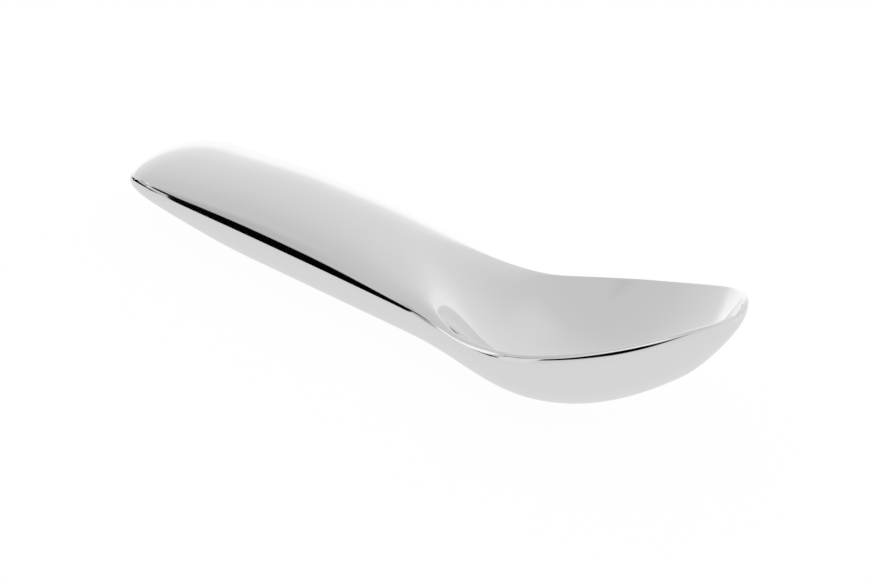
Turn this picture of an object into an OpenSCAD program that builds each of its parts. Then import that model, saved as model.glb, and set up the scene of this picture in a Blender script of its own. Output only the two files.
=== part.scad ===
// Ice cream spade, cast as one piece and polished.
// A thick crowned handle runs down a smooth ramp into an open bowl with a thin rounded lip.
// Millimetres. +X runs from the butt to the tip and +Z is up. The origin is on the table,
// under the middle of the spade.

/* [Handle] */
// Length from the butt to the neck, where the sides begin to flare out to the bowl
handle_length = 101; // [85:1:120]
// Width over the side edges in the palm
grip_width = 37.5; // [30:0.5:42]
// Height of the side edges above the table
edge_height = 13.7; // [11:0.1:16]
// Height of the crown above the side edges in the palm
crown_height = 10.8; // [8:0.1:14]
// Height of the crown above the side edges that the butt would have if left square
butt_crown = 7; // [5:0.5:10]
// Distance from the butt to the highest part of the crown
crown_place = 63; // [45:1:80]

/* [Butt] */
// Length over which the butt is rounded off
butt_rounding = 31; // [20:1:40]
// Fullness of the butt's rounding, where 2 is an ellipse and more is squarer
butt_fullness = 3.4; // [2.4:0.2:5]
// Height of the foremost point of the butt above the table
butt_nose = 5.2; // [4:0.1:10]
// Height by which the underside lifts off the table towards the butt
butt_lift = 4.5; // [2:0.5:6]
// Length over which the underside lifts
butt_lift_length = 54; // [40:1:70]

/* [Bowl] */
// Length from the neck to the tip
bowl_length = 89; // [75:1:100]
// Width that the sides flare to
bowl_width = 56; // [44:1:62]
// Length over which the sides flare
flare_length = 53; // [40:1:60]
// Distance from the neck at which the sides draw in again
taper_start = 43; // [35:1:60]
// Width that the sides would draw in to at the tip if it were left square
nose_width = 25; // [16:1:36]
// Length over which the tip is rounded off
tip_rounding = 21; // [16:1:36]
// Fullness of the tip's rounding, where 2 is an ellipse and more is squarer
tip_fullness = 4; // [2.4:0.2:6]
// Length over which the underside rounds up into the tip
tip_nose = 10.5; // [6:0.5:16]
// Slope that the rim reaches towards the tip, in degrees
rim_angle = 26; // [20:1:35]
// Length over which the rim turns up from level to that slope
rim_bend = 76; // [60:1:95]
// Slope that the underside reaches towards the tip, in degrees
keel_angle = 47; // [35:1:50]
// Length over which the underside turns up to that slope
keel_bend = 57; // [45:1:70]
// Distance from the neck at which the underside leaves the table
keel_start = 32.5; // [25:0.5:45]

/* [Lip] */
// Thickness of the lip along the bowl
lip_width = 1.1; // [1:0.1:2.5]
// Height of the lip above the side edges
lip_height = 2.6; // [1.5:0.1:4]
// Squareness of the lip's outer side, where 2 is an ellipse and more is squarer
lip_squareness = 44; // [10:2:60]
// Distance from the neck at which the handle's round section starts to turn into the lip
lip_start = 20; // [10:1:40]
// Distance from the neck at which the crown has fallen to the height of the lip
crown_end = 52; // [40:1:65]
// Distance from the neck at which the lip has its own section
lip_end = 60; // [45:1:70]
// Softness of the corner between the outer form and the hollow
corner_softness = 0.8; // [0.4:0.1:2]

/* [Hollow of the bowl] */
// Thickness of the floor along the middle
floor_thickness = 3; // [2.5:0.5:5]
// Thickness of the wall at the tip
tip_wall = 1.4; // [1.2:0.1:3]
// Squareness of the hollow's walls, where 2 is a parabola and more is steeper beside the lip
wall_squareness = 2.3; // [2:0.1:4]
// Distance ahead of the neck at which the hollow starts to fall along the middle
ramp_lead = 12; // [0:1:20]
// Length of the fall from the crown to the floor along the middle
ramp_length = 50; // [35:1:60]
// Distance from the neck at which the hollow starts to fall beside the lip, negative on the handle
side_start = -2; // [-6:1:10]
// Length of the fall beside the lip
side_length = 40; // [20:1:50]
// Width of the shoulder that stands beside the hollow where it starts
shoulder_width = 3; // [2:0.5:8]
// Distance from the neck at which the shoulder starts to narrow
shoulder_start = 4; // [0:1:15]
// Distance from the neck at which the shoulder has narrowed to the lip
shoulder_end = 28; // [20:1:45]

/* [Hidden] */

// Steps of the loft: stations along the spade, and columns round half of a section
butt_steps = 16;
handle_steps = 13;
bowl_steps = 32;
tip_steps = 20;
tip_zone = 30;
lip_columns = 6;
inside_columns = 14;
under_columns = 12;
// Height by which the hollow passes over the handle, so that it doesn't cut it
hollow_gap = 0.5;

total_length = handle_length + bowl_length;
neck = handle_length;
tip_height = edge_height + soft_rise(total_length, neck, rim_bend, rim_angle);

function mix(a, b, t) = a + (b - a) * t;
function clamp01(t) = min(1, max(0, t));

// Change from 0 to 1 between two stations, with no jump in curvature at either end
function ease(from, to, x) =
    let (t = clamp01((x - from) / (to - from)))
    t * t * t * (10 - 15 * t + 6 * t * t);

// Height of a line that is level up to its start, bends up and then keeps its slope
function soft_rise(x, start, bend, angle) =
    let (t = (x - start) / bend, c = clamp01(t))
    tan(angle) * bend * (pow(c, 3) - pow(c, 4) / 2 + max(0, t - 1));

// The lower of two heights, with the corner between them rounded
function soft_min(a, b, softness) =
    min(a, b) - pow(max(0, 1 - abs(a - b) / softness), 3) * softness / 6;

// Share of its full size that a section has at a distance from a rounded end
function rounding(distance, round_length, fullness) =
    sqrt(max(0, 1 - pow(max(0, 1 - distance / round_length), fullness)));

function butt_share(x) = rounding(x, butt_rounding, butt_fullness);
function tip_share(x) = rounding(total_length - x, tip_rounding, tip_fullness);
function share(x) = butt_share(x) * tip_share(x);

// Width over the side edges before the ends are rounded off
function square_width(x) =
    mix(grip_width, bowl_width, ease(neck, neck + flare_length, x))
    - (bowl_width - nose_width) * pow(clamp01((x - neck - taper_start) / (bowl_length - taper_start)), 2);

function square_edge(x) = edge_height + soft_rise(x, neck, rim_bend, rim_angle);

function square_keel(x) =
    butt_lift * (1 - ease(0, butt_lift_length, x))
    + soft_rise(x, neck + keel_start, keel_bend, keel_angle);

// Lines of the outer form: half width, side edge, underside and crown above the edge
function half_width(x) = square_width(x) / 2 * share(x);
function edge(x) = mix(butt_nose, mix(tip_height, square_edge(x), tip_share(x)), butt_share(x));
function keel(x) =
    mix(butt_nose, mix(tip_height, square_keel(x), rounding(total_length - x, tip_nose, 2)), butt_share(x));
function crown(x) =
    share(x) * mix(
        mix(butt_crown, crown_height, ease(0, crown_place, x)),
        lip_height,
        ease(crown_place, neck + crown_end, x)
    );

// Lines of the hollow: half width to the lip or shoulder, and floor
function hollow_half(x) =
    let (
        wall = mix(shoulder_width, lip_width, ease(neck + shoulder_start, neck + shoulder_end, x)),
        end = rounding(max(0, total_length - tip_wall - x), tip_rounding - tip_wall, tip_fullness)
    )
    min(max((square_width(x) / 2 - wall) * end, 0.001), 0.999 * half_width(x));
function hollow_floor(x) =
    mix(tip_height, square_keel(x) + floor_thickness, rounding(max(0, total_length - tip_wall - x), tip_nose, 2));

// Height of the outer form, crowned on the handle and square-shouldered along the bowl
function outer_height(x, y) =
    let (squareness = mix(2, lip_squareness, ease(neck + lip_start, neck + lip_end, x)))
    edge(x) + crown(x) * sqrt(max(0, 1 - pow(y / half_width(x), squareness)));

// Height of the hollow: it falls off the crown early along the middle, late and steeply beside the lip
function hollow_height(x, y) =
    let (
        side = min(y / hollow_half(x), 1.2),
        across = pow(side, 1.5),
        start = neck + mix(-ramp_lead, side_start, across),
        fall = ease(start, start + mix(ramp_length, side_length, across), x),
        bowl = mix(hollow_floor(x), outer_height(x, hollow_half(x)), pow(side, wall_squareness))
    )
    mix(outer_height(x, y) + hollow_gap, bowl, fall);

// Point of the top at a turn, from 0 degrees at the side edge to 90 in the middle
function top_point(x, turn) =
    let (y = half_width(x) * cos(turn))
    [y, soft_min(outer_height(x, y), hollow_height(x, y), corner_softness)];

function under_point(x, turn) =
    [half_width(x) * cos(turn), mix(edge(x), keel(x), sin(turn))];

// Half of a section's top, with its columns gathered about the lip
function top_half(x) =
    let (crest = acos(hollow_half(x) / half_width(x)))
    [
        for (i = [0 : lip_columns - 1]) top_point(x, crest * i / lip_columns),
        for (i = [0 : inside_columns]) top_point(x, mix(crest, 90, pow(i / inside_columns, 1.3)))
    ];

function place(x, side, point) = [x - total_length / 2, side * point[0], point[1]];

// One section: over the top from the -Y edge to the +Y edge, and back under
function ring(x) =
    let (
        top = top_half(x),
        middle = len(top) - 1,
        under = [for (i = [1 : under_columns]) under_point(x, 90 * i / under_columns)]
    )
    [
        for (point = top) place(x, -1, point),
        for (i = [middle - 1 : -1 : 0]) place(x, 1, top[i]),
        for (point = under) place(x, 1, point),
        for (i = [under_columns - 2 : -1 : 0]) place(x, -1, under[i])
    ];

// Stations between the two end points, closer together towards both ends
stations = [
    for (i = [1 : butt_steps]) butt_rounding * pow(i / butt_steps, 2),
    for (i = [1 : handle_steps]) mix(butt_rounding, neck, i / handle_steps),
    for (i = [1 : bowl_steps]) mix(neck, total_length - tip_zone, i / bowl_steps),
    for (i = [tip_steps - 1 : -1 : 1]) total_length - tip_zone * pow(i / tip_steps, 2)
];

module loft(sections, start, end) {
    sides = len(sections[0]);
    last = len(sections) - 1;
    first_tip = len(sections) * sides;
    polyhedron(
        points = [for (section = sections) each section, start, end],
        faces = [
            for (k = [0 : last - 1], i = [0 : sides - 1])
                let (a = k * sides + i, b = k * sides + (i + 1) % sides)
                each [[a, a + sides, b], [b, a + sides, b + sides]],
            for (i = [0 : sides - 1]) [first_tip, i, (i + 1) % sides],
            for (i = [0 : sides - 1]) [first_tip + 1, last * sides + (i + 1) % sides, last * sides + i]
        ]
    );
}

module spade() {
    color("silver")
        loft(
            [for (x = stations) ring(x)],
            place(0, 0, [0, butt_nose]),
            place(total_length, 0, [0, tip_height])
        );
}

spade();
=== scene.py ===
"""Looks of a cast ice cream spade, polished like a mirror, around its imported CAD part.

The part's plain solid is replaced by a fine skin that follows the same lines at a much smaller
step, because a mirror shows every facet. All lengths below are the maker's millimetres; the
scene itself is in metres, in the part's own frame: +X to the tip, +Z up, origin on the table.
"""

import math

import bmesh
import bpy
from mathutils import Matrix, Vector


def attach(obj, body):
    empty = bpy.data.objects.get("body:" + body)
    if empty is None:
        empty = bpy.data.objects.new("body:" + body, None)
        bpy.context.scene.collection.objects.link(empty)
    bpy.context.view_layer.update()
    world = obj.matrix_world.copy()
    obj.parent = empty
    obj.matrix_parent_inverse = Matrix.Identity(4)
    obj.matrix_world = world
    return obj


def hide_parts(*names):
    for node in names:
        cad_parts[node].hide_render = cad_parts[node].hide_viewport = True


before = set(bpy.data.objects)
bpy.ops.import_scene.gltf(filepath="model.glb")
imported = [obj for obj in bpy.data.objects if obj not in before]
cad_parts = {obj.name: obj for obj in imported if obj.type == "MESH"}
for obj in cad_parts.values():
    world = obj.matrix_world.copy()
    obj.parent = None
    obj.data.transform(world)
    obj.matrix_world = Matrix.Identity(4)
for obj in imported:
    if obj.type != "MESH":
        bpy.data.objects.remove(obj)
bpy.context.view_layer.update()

MM = 0.001

# Sizes of the spade in millimetres, as in the part's source
HANDLE_LENGTH = 101
GRIP_WIDTH = 37.5
EDGE_HEIGHT = 13.7
CROWN_HEIGHT = 10.8
BUTT_CROWN = 7
CROWN_PLACE = 63
BUTT_ROUNDING = 31
BUTT_FULLNESS = 3.4
BUTT_NOSE = 5.2
BUTT_LIFT = 4.5
BUTT_LIFT_LENGTH = 54
BOWL_LENGTH = 89
BOWL_WIDTH = 56
FLARE_LENGTH = 53
TAPER_START = 43
NOSE_WIDTH = 25
TIP_ROUNDING = 21
TIP_FULLNESS = 4
TIP_NOSE = 10.5
RIM_ANGLE = 26
RIM_BEND = 76
KEEL_START = 32.5
KEEL_BEND = 57
KEEL_ANGLE = 47
LIP_WIDTH = 1.1
LIP_HEIGHT = 2.6
LIP_SQUARENESS = 44
LIP_START = 20
CROWN_END = 52
LIP_END = 60
CORNER_SOFTNESS = 0.8
FLOOR_THICKNESS = 3
TIP_WALL = 1.4
WALL_SQUARENESS = 2.3
RAMP_LEAD = 12
RAMP_LENGTH = 50
SIDE_START = -2
SIDE_LENGTH = 40
SHOULDER_WIDTH = 3
SHOULDER_START = 4
SHOULDER_END = 28
HOLLOW_GAP = 0.5

NECK = HANDLE_LENGTH
TOTAL = HANDLE_LENGTH + BOWL_LENGTH

# Power of the change from the middle of the hollow to the lip in where it falls, and the share of
# its half width past which its lines change no more
ACROSS_POWER = 1.5
PAST_LIP = 1.2

# Stations along the skin, and columns round half of one section, gathered about the ends and the
# lip by a power
BUTT_RINGS = 26
HANDLE_RINGS = 34
BOWL_RINGS = 64
TIP_RINGS = 40
TIP_ZONE = 30
LIP_COLUMNS = 14
INSIDE_COLUMNS = 26
UNDER_COLUMNS = 18
END_GATHERING = 2
LIP_GATHERING = 1.3

# Place, turn and lens of the camera, fitted to the outline of the spade in the photograph
CAMERA_YAW = 34.362
CAMERA_ELEVATION = 29.144
CAMERA_ROLL = 6.113
CAMERA_DISTANCE = 543.267
CAMERA_TARGET = (0, 0, 15)
CAMERA_SLIDE = (6.353, -7.227)
PIXELS_PER_MM = 3.814
IMAGE_WIDTH = 871
SENSOR_WIDTH = 36
CAMERA_LENS = PIXELS_PER_MM * CAMERA_DISTANCE / IMAGE_WIDTH * SENSOR_WIDTH


def mix(a, b, t):
    return a + (b - a) * t


def clamp01(t):
    return min(1.0, max(0.0, t))


def ease(start, end, x):
    """Change from 0 to 1 between two stations, with no jump in curvature."""
    t = clamp01((x - start) / (end - start))
    return t * t * t * (10 - 15 * t + 6 * t * t)


def soft_rise(x, start, bend, angle):
    """Height of a line that is level up to its start, bends up and then keeps its slope."""
    t = (x - start) / bend
    c = clamp01(t)
    return math.tan(math.radians(angle)) * bend * (c**3 - c**4 / 2 + max(0, t - 1))


def rounding(distance, length, fullness):
    """Share of its full size that a section has at a distance from a rounded end."""
    return math.sqrt(max(0, 1 - max(0, 1 - distance / length) ** fullness))


def soft_min(a, b, softness):
    """The lower of two heights, with the corner between them rounded."""
    near = max(0, 1 - abs(a - b) / softness)
    return min(a, b) - near**3 * softness / 6


TIP_HEIGHT = EDGE_HEIGHT + soft_rise(TOTAL, NECK, RIM_BEND, RIM_ANGLE)


def section_lines(x):
    """Half width, edge, underside, crown, and the hollow's half width and floor at a station."""
    butt = rounding(x, BUTT_ROUNDING, BUTT_FULLNESS)
    tip = rounding(TOTAL - x, TIP_ROUNDING, TIP_FULLNESS)
    size = butt * tip
    hollow = rounding(max(0, TOTAL - TIP_WALL - x), TIP_ROUNDING - TIP_WALL, TIP_FULLNESS)
    width = mix(GRIP_WIDTH, BOWL_WIDTH, ease(NECK, NECK + FLARE_LENGTH, x))
    taper = clamp01((x - NECK - TAPER_START) / (BOWL_LENGTH - TAPER_START))
    width -= (BOWL_WIDTH - NOSE_WIDTH) * taper**2
    keel = BUTT_LIFT * (1 - ease(0, BUTT_LIFT_LENGTH, x))
    keel += soft_rise(x, NECK + KEEL_START, KEEL_BEND, KEEL_ANGLE)
    edge = EDGE_HEIGHT + soft_rise(x, NECK, RIM_BEND, RIM_ANGLE)
    crown = mix(BUTT_CROWN, CROWN_HEIGHT, ease(0, CROWN_PLACE, x))
    crown = mix(crown, LIP_HEIGHT, ease(CROWN_PLACE, NECK + CROWN_END, x)) * size
    nose = rounding(max(0, TOTAL - TIP_WALL - x), TIP_NOSE, 2)
    floor = mix(TIP_HEIGHT, keel + FLOOR_THICKNESS, nose)
    if x < TOTAL / 2:
        edge = mix(BUTT_NOSE, edge, butt)
        keel = mix(BUTT_NOSE, keel, butt)
    else:
        edge = mix(TIP_HEIGHT, edge, tip)
        keel = mix(TIP_HEIGHT, keel, rounding(TOTAL - x, TIP_NOSE, 2))
    outside = width / 2 * size
    lip = mix(SHOULDER_WIDTH, LIP_WIDTH, ease(NECK + SHOULDER_START, NECK + SHOULDER_END, x))
    inside = min(max((width / 2 - lip) * hollow, 0.001), 0.999 * outside)
    return {
        "x": x,
        "outside": outside,
        "edge": edge,
        "keel": keel,
        "crown": crown,
        "squareness": mix(2, LIP_SQUARENESS, ease(NECK + LIP_START, NECK + LIP_END, x)),
        "inside": inside,
        "floor": floor,
    }


def crown_height(s, y):
    """Height of the outer form, a crown over the side edges, before the hollow is cut."""
    return s["edge"] + s["crown"] * math.sqrt(max(0, 1 - (y / s["outside"]) ** s["squareness"]))


def hollow_height(s, y):
    """Height of the hollow: it falls off the crown to the floor, late and steeply beside the lip."""
    side = min(y / s["inside"], PAST_LIP)
    across = side**ACROSS_POWER
    start = NECK + mix(-RAMP_LEAD, SIDE_START, across)
    fall = ease(start, start + mix(RAMP_LENGTH, SIDE_LENGTH, across), s["x"])
    bowl = mix(s["floor"], crown_height(s, s["inside"]), side**WALL_SQUARENESS)
    return mix(crown_height(s, y) + HOLLOW_GAP, bowl, fall)


def half_section(x):
    """Points from the side edge over the top to the middle, then from the edge under to the keel."""
    s = section_lines(x)
    crest = math.acos(s["inside"] / s["outside"])
    turns = [crest * (1 - (1 - i / LIP_COLUMNS) ** LIP_GATHERING) for i in range(LIP_COLUMNS)]
    inward = [(i / INSIDE_COLUMNS) ** LIP_GATHERING for i in range(INSIDE_COLUMNS + 1)]
    turns += [mix(crest, math.pi / 2, t) for t in inward]
    top = []
    for turn in turns:
        y = max(0, s["outside"] * math.cos(turn))
        top.append((y, soft_min(crown_height(s, y), hollow_height(s, y), CORNER_SOFTNESS)))
    under = []
    for column in range(1, UNDER_COLUMNS + 1):
        turn = math.pi / 2 * column / UNDER_COLUMNS
        under.append((s["outside"] * math.cos(turn), mix(s["edge"], s["keel"], math.sin(turn))))
    return top, under


def place(x, side, point):
    return Vector(((x - TOTAL / 2) * MM, side * point[0] * MM, point[1] * MM))


def section_points(x):
    """The closed section: over the top from the -Y edge to the +Y edge, and back under."""
    top, under = half_section(x)
    points = [place(x, -1, p) for p in top]
    points += [place(x, 1, p) for p in top[-2::-1]]
    points += [place(x, 1, p) for p in under]
    points += [place(x, -1, p) for p in under[-2::-1]]
    return points


def stations():
    """Places of the sections, closer together towards both rounded ends."""
    places = [BUTT_ROUNDING * (i / BUTT_RINGS) ** END_GATHERING for i in range(1, BUTT_RINGS + 1)]
    places += [mix(BUTT_ROUNDING, NECK, i / HANDLE_RINGS) for i in range(1, HANDLE_RINGS + 1)]
    places += [mix(NECK, TOTAL - TIP_ZONE, i / BOWL_RINGS) for i in range(1, BOWL_RINGS + 1)]
    places += [TOTAL - TIP_ZONE * (i / TIP_RINGS) ** END_GATHERING for i in range(TIP_RINGS - 1, 0, -1)]
    return places


def section_ring(bm, points):
    """A circle of the right count, with its points moved onto the section."""
    ring = bmesh.ops.create_circle(bm, cap_ends=False, radius=MM, segments=len(points))["verts"]
    for vert, point in zip(ring, points):
        vert.co = point
    return ring


def ring_edges(ring):
    members = set(ring)
    return [e for e in {e for v in ring for e in v.link_edges} if members.issuperset(e.verts)]


def close_end(bm, ring, point):
    """Closes an end ring with a fan to the end point."""
    cap = bmesh.ops.contextual_create(bm, geom=ring_edges(ring))["faces"]
    middle = bmesh.ops.poke(bm, faces=cap)["verts"][0]
    middle.co = point


def piece_from(bm, name):
    bmesh.ops.recalc_face_normals(bm, faces=bm.faces)
    mesh = bpy.data.meshes.new(name)
    bm.to_mesh(mesh)
    bm.free()
    for face in mesh.polygons:
        face.use_smooth = True
    piece = bpy.data.objects.new(name, mesh)
    bpy.context.scene.collection.objects.link(piece)
    return piece


def make_spade():
    """The spade's skin: sections joined one to the next, closed at the butt and at the tip."""
    bm = bmesh.new()
    rings = [section_ring(bm, section_points(x)) for x in stations()]
    edges = [ring_edges(ring) for ring in rings]
    for near, far in zip(edges, edges[1:]):
        bmesh.ops.bridge_loops(bm, edges=near + far)
    close_end(bm, rings[0], place(0, 0, (0, BUTT_NOSE)))
    close_end(bm, rings[-1], place(TOTAL, 0, (0, TIP_HEIGHT)))
    return piece_from(bm, "spade_skin")


def srgb(code):
    """Linear colour of an sRGB hex value."""
    parts = [int(code[i : i + 2], 16) / 255 for i in (1, 3, 5)]
    return [c / 12.92 if c <= 0.04045 else ((c + 0.055) / 1.055) ** 2.4 for c in parts] + [1]


def add_node(tree, kind, settings=None, inputs=None):
    """Adds a node, sets its properties, and sets or links its inputs."""
    node = tree.nodes.new(kind)
    for name, value in (settings or {}).items():
        setattr(node, name, value)
    for name, value in (inputs or {}).items():
        if isinstance(value, bpy.types.NodeSocket):
            tree.links.new(value, node.inputs[name])
        else:
            node.inputs[name].default_value = value
    return node


def set_ramp(node, stops):
    """Gives a colour ramp its stops, as (position, sRGB hex)."""
    elements = node.color_ramp.elements
    for _ in stops[2:]:
        elements.new(0.5)
    for element, (position, code) in zip(elements, stops):
        element.position = position
        element.color = srgb(code)


# Cast aluminium, ground and buffed to a mirror. It shows the room almost sharply. What is left of
# the hand work is a very slight waviness some 9 mm long, and the hair lines of the last buffing
# along the spade. Real hair lines are finer. They are drawn as coarse as they need to be to show.
WAVE_LENGTH_MM = 9
WAVE_HEIGHT_MM = 0.02
HAIR_LINE_MM = 0.35
HAIR_STRETCH = (0.06, 1.0, 1.0)
SMOOTHEST = 0.035
ROUGHEST = 0.075


def mirror_polished_aluminium():
    material = bpy.data.materials.new("mirror_polished_cast_aluminium")
    material.use_nodes = True
    tree = material.node_tree
    tree.nodes.clear()
    where = add_node(tree, "ShaderNodeTexCoord").outputs["Object"]
    waves = add_node(
        tree,
        "ShaderNodeTexNoise",
        inputs={"Vector": where, "Scale": 1 / (WAVE_LENGTH_MM * MM), "Detail": 0.0, "Roughness": 0.4},
    )
    stretched = add_node(
        tree, "ShaderNodeMapping", inputs={"Vector": where, "Scale": HAIR_STRETCH}
    )
    hair = add_node(
        tree,
        "ShaderNodeTexNoise",
        inputs={
            "Vector": stretched.outputs["Vector"],
            "Scale": 1 / (HAIR_LINE_MM * MM),
            "Detail": 2.0,
            "Roughness": 0.5,
        },
    )
    gloss = add_node(
        tree,
        "ShaderNodeMapRange",
        inputs={"Value": hair.outputs["Fac"], "To Min": SMOOTHEST, "To Max": ROUGHEST},
    )
    wavy = add_node(
        tree,
        "ShaderNodeBump",
        inputs={"Height": waves.outputs["Fac"], "Distance": WAVE_HEIGHT_MM * MM, "Strength": 0.5},
    )
    shader = add_node(
        tree,
        "ShaderNodeBsdfPrincipled",
        inputs={
            "Base Color": srgb("#F4F4F4"),
            "Metallic": 1.0,
            "Roughness": gloss.outputs["Result"],
            "Normal": wavy.outputs["Normal"],
        },
    )
    add_node(tree, "ShaderNodeOutputMaterial", inputs={"Surface": shader.outputs["BSDF"]})
    return material


def make_camera():
    yaw, rise, roll = (math.radians(a) for a in (CAMERA_YAW, CAMERA_ELEVATION, CAMERA_ROLL))
    forward = Vector((-math.sin(yaw) * math.cos(rise), math.cos(yaw) * math.cos(rise), -math.sin(rise)))
    level_right = Vector((math.cos(yaw), math.sin(yaw), 0))
    level_up = level_right.cross(forward)
    right = level_right * math.cos(roll) + level_up * math.sin(roll)
    up = level_up * math.cos(roll) - level_right * math.sin(roll)
    position = Vector(CAMERA_TARGET) - forward * CAMERA_DISTANCE
    position += right * CAMERA_SLIDE[0] + up * CAMERA_SLIDE[1]
    data = bpy.data.cameras.new("camera")
    data.lens = CAMERA_LENS
    data.sensor_width = SENSOR_WIDTH
    data.clip_start = 0.01
    camera = bpy.data.objects.new("camera", data)
    bpy.context.scene.collection.objects.link(camera)
    turn = Matrix((right, up, -forward)).transposed().to_4x4()
    camera.matrix_world = Matrix.Translation(position * MM) @ turn
    bpy.context.scene.camera = camera


# The studio, as the polished metal sees it from the table. The table's pale grey lies below. A tent
# of white cloth stands over it, dim towards the camera and bright on the far side. Patches in the
# cloth show more: low white light behind the spade, a bright strip that whitens the edge beside the
# neck, and the dark room through gaps on the camera's side, which draw the dark lines along the
# handle and along the bowl's rim. The tones are written as the metal shows them, so the light itself
# is a little stronger.
METAL_LOSS = 1.11

# Direction of the tent's far side, and the facings between which the near tones turn into the far
# ones, where 1 is straight at the far side and -1 straight away from it
FAR_SIDE = (-0.105, 0.995, 0.0)
NEAR_UP_TO = -0.4
FAR_FROM = 0.95

# Tones at angles above the horizon in degrees
NEAR_SIDE_TONES = [
    (-90, "#D4D4D4"),
    (-50, "#D5D5D5"),
    (-30, "#D3D3D3"),
    (-15, "#CECECE"),
    (0, "#C8C8C8"),
    (12, "#C3C3C3"),
    (50, "#C3C3C3"),
    (65, "#C6C6C6"),
    (90, "#CFCFCF"),
]
FAR_SIDE_TONES = [
    (-90, "#D5D5D5"),
    (-42, "#D6D6D6"),
    (-33, "#D9D9D9"),
    (-22, "#DCDCDC"),
    (10, "#E6E6E6"),
    (18, "#E0E0E0"),
    (27, "#D9D9D9"),
    (40, "#D6D6D6"),
    (70, "#D8D8D8"),
    (90, "#D9D9D9"),
]

# Patches as tone, azimuth, rise above the horizon, half width, half height and tilt in degrees, then
# fullness, where 1 is a lozenge and 6 nearly a rectangle, and softness of the edge
PATCHES = [
    ("#F7F7F7", 128, -9, 39, 20, 0, 1.3, 0.4),
    ("#F2F2F2", 205.5, -1, 7, 14, 0, 2, 0.3),
    ("#ACACAC", 230, 9, 13, 19, 0, 1, 0.9),
    ("#F0F0F0", 281, 22, 34, 16, 0, 1, 0.5),
    ("#020202", 236.3, -6, 6.8, 15, 0, 6, 0.1),
    ("#020202", 281, -4, 60, 13, 8, 1, 0.1),
    ("#101010", 216, -13, 11, 5, 0, 1, 0.2),
    ("#101010", 224, 8, 9, 4.5, 0, 2, 0.2),
]

# Sockets of a Mix node for its two colours, and for the mixed one
FIRST_COLOUR = 6
SECOND_COLOUR = 7
MIXED_COLOUR = 2


def tone_stops(tones):
    """Ramp stops from tones at angles above the horizon, for a ramp that runs from -1 to 1 in sine."""
    return [((1 + math.sin(math.radians(rise))) / 2, code) for rise, code in tones]


def patch_share(tree, direction, azimuth, rise, half_width, half_height, tilt, fullness, softness):
    """How far a direction lies inside a patch of the tent: 1 inside, 0 outside."""
    turn, up, lean = (math.radians(a) for a in (azimuth, rise, tilt))
    facing = Vector((math.cos(turn) * math.cos(up), math.sin(turn) * math.cos(up), math.sin(up)))
    level = Vector((math.sin(turn), -math.cos(turn), 0))
    plumb = level.cross(facing)
    axes = (
        (level * math.cos(lean) + plumb * math.sin(lean)) / math.sin(math.radians(half_width)),
        (plumb * math.cos(lean) - level * math.sin(lean)) / math.sin(math.radians(half_height)),
    )
    reach = []
    for axis in axes:
        along = add_node(
            tree, "ShaderNodeVectorMath", {"operation": "DOT_PRODUCT"}, {0: direction, 1: axis}
        )
        size = add_node(tree, "ShaderNodeMath", {"operation": "ABSOLUTE"}, {0: along.outputs["Value"]})
        power = add_node(
            tree, "ShaderNodeMath", {"operation": "POWER"}, {0: size.outputs["Value"], 1: fullness}
        )
        reach.append(power.outputs["Value"])
    total = add_node(tree, "ShaderNodeMath", {"operation": "ADD"}, {0: reach[0], 1: reach[1]})
    inside = add_node(
        tree,
        "ShaderNodeMapRange",
        {"interpolation_type": "SMOOTHSTEP"},
        {"Value": total.outputs["Value"], "From Min": 1 + softness, "From Max": 1 - softness},
    )
    ahead = add_node(
        tree, "ShaderNodeVectorMath", {"operation": "DOT_PRODUCT"}, {0: direction, 1: facing}
    )
    front = add_node(
        tree, "ShaderNodeMath", {"operation": "GREATER_THAN"}, {0: ahead.outputs["Value"], 1: 0.0}
    )
    share = add_node(
        tree,
        "ShaderNodeMath",
        {"operation": "MULTIPLY"},
        {0: inside.outputs["Result"], 1: front.outputs["Value"]},
    )
    return share.outputs["Value"]


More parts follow.
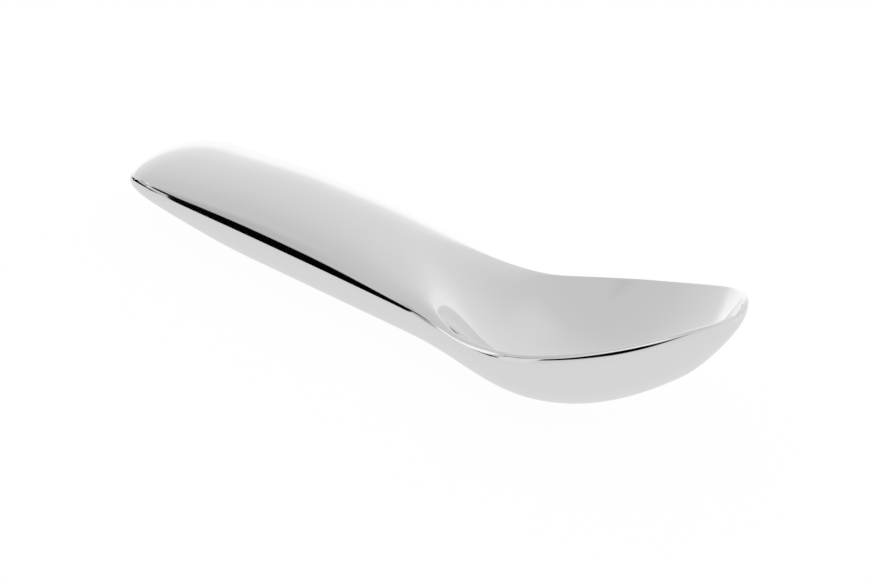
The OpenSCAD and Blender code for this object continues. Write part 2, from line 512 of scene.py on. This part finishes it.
def make_world():
    world = bpy.data.worlds.new("tent")
    bpy.context.scene.world = world
    world.use_nodes = True
    tree = world.node_tree
    tree.nodes.clear()
    direction = add_node(tree, "ShaderNodeTexCoord").outputs["Generated"]
    rise = add_node(tree, "ShaderNodeSeparateXYZ", inputs={"Vector": direction}).outputs["Z"]
    height = add_node(tree, "ShaderNodeMapRange", inputs={"Value": rise, "From Min": -1.0})
    near = add_node(tree, "ShaderNodeValToRGB", inputs={"Fac": height.outputs["Result"]})
    set_ramp(near, tone_stops(NEAR_SIDE_TONES))
    far = add_node(tree, "ShaderNodeValToRGB", inputs={"Fac": height.outputs["Result"]})
    set_ramp(far, tone_stops(FAR_SIDE_TONES))
    facing = add_node(
        tree, "ShaderNodeVectorMath", {"operation": "DOT_PRODUCT"}, {0: direction, 1: FAR_SIDE}
    )
    side = add_node(
        tree,
        "ShaderNodeMapRange",
        {"interpolation_type": "SMOOTHSTEP"},
        {"Value": facing.outputs["Value"], "From Min": NEAR_UP_TO, "From Max": FAR_FROM},
    )
    tent = add_node(
        tree,
        "ShaderNodeMix",
        {"data_type": "RGBA"},
        {
            "Factor": side.outputs["Result"],
            FIRST_COLOUR: near.outputs["Color"],
            SECOND_COLOUR: far.outputs["Color"],
        },
    ).outputs[MIXED_COLOUR]
    for tone, *place_and_size in PATCHES:
        share = patch_share(tree, direction, *place_and_size)
        sockets = {"Factor": share, FIRST_COLOUR: tent, SECOND_COLOUR: srgb(tone)}
        tent = add_node(tree, "ShaderNodeMix", {"data_type": "RGBA"}, sockets).outputs[MIXED_COLOUR]
    light = add_node(tree, "ShaderNodeBackground", inputs={"Color": tent, "Strength": METAL_LOSS})
    paper = add_node(tree, "ShaderNodeBackground", inputs={"Color": srgb("#FFFFFF"), "Strength": 1.0})
    seen = add_node(tree, "ShaderNodeLightPath").outputs["Is Camera Ray"]
    both = add_node(
        tree,
        "ShaderNodeMixShader",
        inputs={0: seen, 1: light.outputs["Background"], 2: paper.outputs["Background"]},
    )
    add_node(tree, "ShaderNodeOutputWorld", inputs={"Surface": both.outputs["Shader"]})


# White table paper. The camera sees it almost plain white, with the spade's faint shadow on it.
TABLE_RADIUS = 4.0
TABLE_SIDES = 96
WHITE_STRENGTH = 1.05
WHITE_SHARE = 0.9


def table_material():
    material = bpy.data.materials.new("white_table_paper")
    material.use_nodes = True
    tree = material.node_tree
    tree.nodes.clear()
    paper = add_node(tree, "ShaderNodeBsdfDiffuse", inputs={"Color": srgb("#E8E8E8")})
    white = add_node(
        tree, "ShaderNodeEmission", inputs={"Color": srgb("#FFFFFF"), "Strength": WHITE_STRENGTH}
    )
    shadowed = add_node(
        tree,
        "ShaderNodeMixShader",
        inputs={0: WHITE_SHARE, 1: paper.outputs["BSDF"], 2: white.outputs["Emission"]},
    )
    seen = add_node(tree, "ShaderNodeLightPath").outputs["Is Camera Ray"]
    both = add_node(
        tree,
        "ShaderNodeMixShader",
        inputs={0: seen, 1: paper.outputs["BSDF"], 2: shadowed.outputs["Shader"]},
    )
    add_node(tree, "ShaderNodeOutputMaterial", inputs={"Surface": both.outputs["Shader"]})
    return material


def make_table():
    bm = bmesh.new()
    bmesh.ops.create_circle(bm, cap_ends=True, radius=TABLE_RADIUS, segments=TABLE_SIDES)
    table = piece_from(bm, "table")
    table.data.materials.append(table_material())
    table.visible_glossy = False


# Cards on the table, which only the metal sees, as tone, corners on the table in metres and the
# height of the side that is turned up, between the last two corners. The pale one hides the gap in
# the tent from the neck. The black one draws the short dark line round the butt, and the grey one
# stands behind it, so that the butt doesn't catch the bright patch meant for the neck. Nothing lights
# them: each glows with its one tone, painted light that stands in for matt cardboard lit evenly.
CARDS = [
    ("pale_card", "#D8D8D8", ((-0.004, -0.062), (0.036, -0.062), (0.04, -0.07), (-0.004, -0.07)), 0.03),
    ("black_card", "#020202", ((-0.122, -0.002), (-0.122, -0.047), (-0.2, -0.09), (-0.3, -0.05)), 0.0),
    ("grey_card", "#B2B2B2", ((-0.2, -0.094), (-0.2, -0.044)), 0.036),
]


def make_card(name, tone, corners, height):
    material = bpy.data.materials.new(name + "board")
    material.use_nodes = True
    tree = material.node_tree
    tree.nodes.clear()
    # The card glows with its tone, painted light in place of even light falling on cardboard.
    card_glow = add_node(tree, "ShaderNodeEmission", inputs={"Color": srgb(tone), "Strength": METAL_LOSS})
    add_node(tree, "ShaderNodeOutputMaterial", inputs={"Surface": card_glow.outputs["Emission"]})
    bm = bmesh.new()
    verts = [bm.verts.new((x, y, MM)) for x, y in corners]
    if len(verts) > 2:
        bm.faces.new(verts)
    else:
        bm.edges.new(verts)
    if height:
        turned_up = bmesh.ops.extrude_edge_only(bm, edges=[bm.edges.get(verts[-2:])])["geom"]
        raised = [g for g in turned_up if isinstance(g, bmesh.types.BMVert)]
        bmesh.ops.translate(bm, vec=(0, 0, height), verts=raised)
    card = piece_from(bm, name)
    card.data.materials.append(material)
    card.visible_camera = False
    card.visible_diffuse = False
    card.visible_shadow = False
    card.visible_transmission = False


spade = make_spade()
smooth = spade.modifiers.new("smooth", "SUBSURF")
smooth.levels = 1
smooth.render_levels = 1
spade.data.materials.append(mirror_polished_aluminium())
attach(spade, "root")
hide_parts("spade")

bpy.context.scene.view_settings.view_transform = "Standard"
make_camera()
make_world()
make_table()
for card in CARDS:
    make_card(*card)
